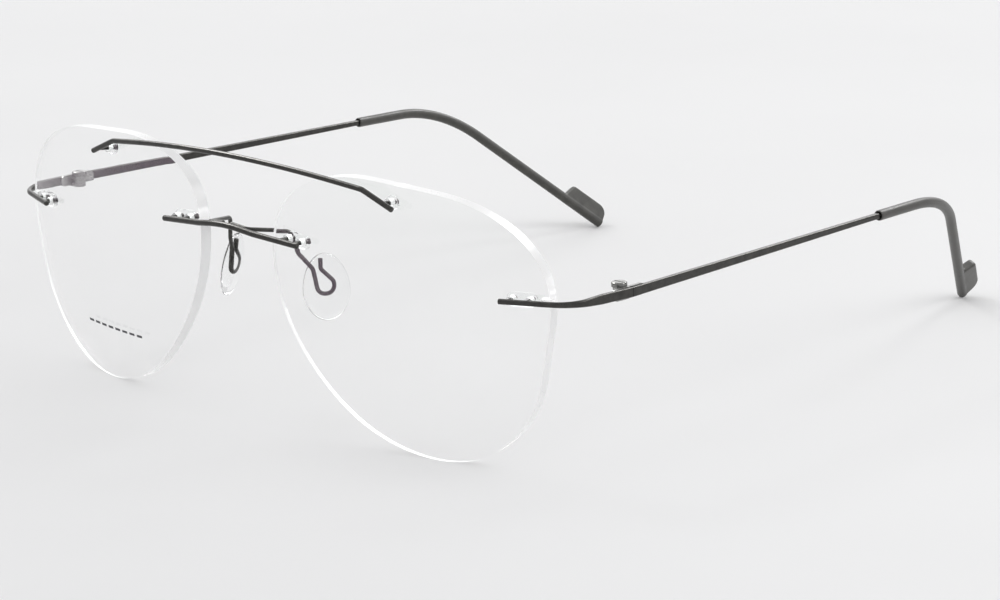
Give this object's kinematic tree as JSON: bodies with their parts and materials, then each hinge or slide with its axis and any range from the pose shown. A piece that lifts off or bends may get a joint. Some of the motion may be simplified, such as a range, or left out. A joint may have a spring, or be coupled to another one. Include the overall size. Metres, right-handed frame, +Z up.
{
  "type": "eyeglasses",
  "caption": "Rimless wire eyeglasses with a brow bar over the bridge, clear lenses, silicone nose pads and folding temples that end in curved ear tips.",
  "frame": {"origin": "on the surface that the open glasses stand on, under the middle of their outer box", "axes": "+Z up, the front faces -Y, the temples run to +Y, +X is the wearer's left"},
  "size_m": [0.1398, 0.152, 0.049],
  "materials": {
    "wire_metal": "satin black coating on thin titanium wire",
    "hinge_metal": "bare satin metal",
    "screw_metal": "dark polished metal",
    "lens_plastic": "clear polished lens with a thin anti-reflection coating",
    "clear_plug": "clear polished plastic",
    "clear_silicone": "clear soft silicone",
    "tip_sleeve": "matt dark silicone"
  },
  "bodies": {
    "front": {"bridge_bar": "wire_metal", "bridge_pins": "wire_metal", "bridge_plug_left": "clear_plug", "bridge_plug_right": "clear_plug", "brow_bar": "wire_metal", "brow_pins": "wire_metal", "brow_plug_left": "clear_plug", "brow_plug_right": "clear_plug", "endpiece_left": "wire_metal", "endpiece_pins_left": "wire_metal", "endpiece_pins_right": "wire_metal", "endpiece_plug_left": "clear_plug", "endpiece_plug_right": "clear_plug", "endpiece_right": "wire_metal", "front_hinge_leaf_left": "hinge_metal", "front_hinge_leaf_right": "hinge_metal", "hinge_screw_left": "screw_metal", "hinge_screw_right": "screw_metal", "lens_left": "lens_plastic", "lens_right": "lens_plastic", "nose_pad_left": "clear_silicone", "nose_pad_right": "clear_silicone", "pad_arm_left": "wire_metal", "pad_arm_right": "wire_metal", "pad_loop_left": "wire_metal", "pad_loop_right": "wire_metal"},
    "left_temple": {"temple_left": "wire_metal", "temple_hinge_leaf_left": "hinge_metal", "temple_tip_left": "tip_sleeve"},
    "right_temple": {"temple_right": "wire_metal", "temple_hinge_leaf_right": "hinge_metal", "temple_tip_right": "tip_sleeve"}
  },
  "joints": [
    {"name": "left_temple_fold", "type": "hinge", "parent": "front", "child": "left_temple", "pos_m": [0.0675, -0.04972, 0.02995], "axis": [0, 0, 1], "range_deg": [0, 86]},
    {"name": "right_temple_fold", "type": "hinge", "parent": "front", "child": "right_temple", "pos_m": [-0.0675, -0.04972, 0.02995], "axis": [0, 0, -1], "range_deg": [0, 80]}
  ]
}
